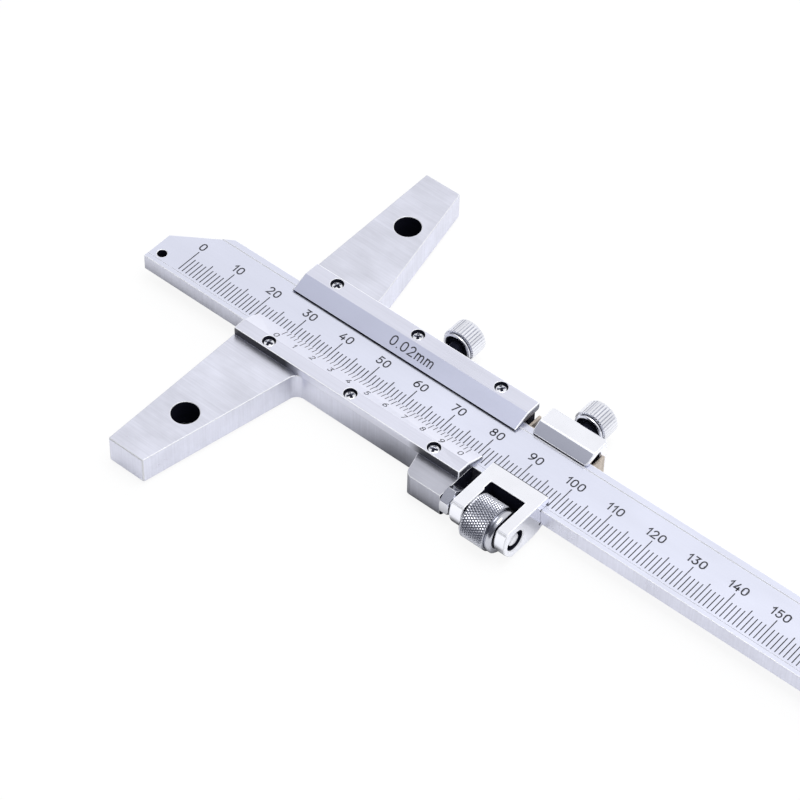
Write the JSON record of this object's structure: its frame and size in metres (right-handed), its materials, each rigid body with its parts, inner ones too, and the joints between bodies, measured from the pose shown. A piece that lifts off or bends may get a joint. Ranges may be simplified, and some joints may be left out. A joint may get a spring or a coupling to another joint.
{
  "type": "vernier depth gauge",
  "caption": "Vernier depth gauge: a graduated beam slides through a base bar with a vernier plate, beside a fine-adjust carriage with a knurled nut and locking thumb screws.",
  "frame": {"origin": "middle of the measuring face, where the beam's centre line passes through it", "axes": "-X out of the measuring face, along the beam to its tip; +Y towards the thumb screws; +Z out of the scale side"},
  "size_m": [0.24, 0.1, 0.01],
  "materials": {
    "ground_steel": "finely ground, slightly mottled satin",
    "satin_scale_steel": "satin chrome with fine lengthwise brushing",
    "brushed_steel": "lengthwise brushed",
    "polished_steel": "bright turned and plated",
    "mirror_chrome": "mirror polished chrome",
    "gib_bronze": "dull rolled strip",
    "scale_black": "matt black filled engraving"
  },
  "bodies": {
    "slider": {"base_frame": "ground_steel", "vernier_plate": "satin_scale_steel", "guide_plate": "brushed_steel", "vernier_plate_screw_1": "polished_steel", "vernier_plate_screw_2": "polished_steel", "vernier_plate_screw_3": "polished_steel", "guide_plate_screw_1": "polished_steel", "guide_plate_screw_2": "polished_steel", "guide_plate_screw_3": "polished_steel", "slider_gib": "gib_bronze", "fine_adjust_rod": "polished_steel", "rod_lock_nut": "polished_steel"},
    "beam": {"beam": "satin_scale_steel"},
    "carriage": {"carriage": "mirror_chrome", "carriage_gib": "gib_bronze"},
    "fine_nut": {"fine_adjust_nut": "polished_steel"},
    "slider_lock": {"slider_lock_stud": "polished_steel", "slider_lock_knob": "polished_steel"},
    "carriage_lock": {"carriage_lock_stud": "polished_steel", "carriage_lock_knob": "polished_steel"}
  },
  "joints": [
    {"name": "beam_slide", "type": "slide", "parent": "slider", "child": "beam", "axis": [-1, 0, 0], "range_m": [-0.0296, 0.1204]},
    {"name": "carriage_slide", "type": "slide", "parent": "slider", "child": "carriage", "axis": [1, 0, 0], "range_m": [-0.0008, 0.004]},
    {"name": "fine_nut_spin", "type": "hinge", "parent": "carriage", "child": "fine_nut", "pos_m": [0.0703, -0.01585, -0.0002], "axis": [1, 0, 0], "range_deg": [-576, 2880]},
    {"name": "slider_lock_turn", "type": "hinge", "parent": "slider", "child": "slider_lock", "pos_m": [0.036, 0.0187, 0], "axis": [0, 1, 0], "range_deg": [-72, 720]},
    {"name": "carriage_lock_turn", "type": "hinge", "parent": "carriage", "child": "carriage_lock", "pos_m": [0.0704, 0.0188, 0], "axis": [0, 1, 0], "range_deg": [-72, 720]}
  ],
  "couplings": [
    {"joint": "fine_nut_spin", "follows": "carriage_slide", "rad_per_m": 12566}
  ]
}
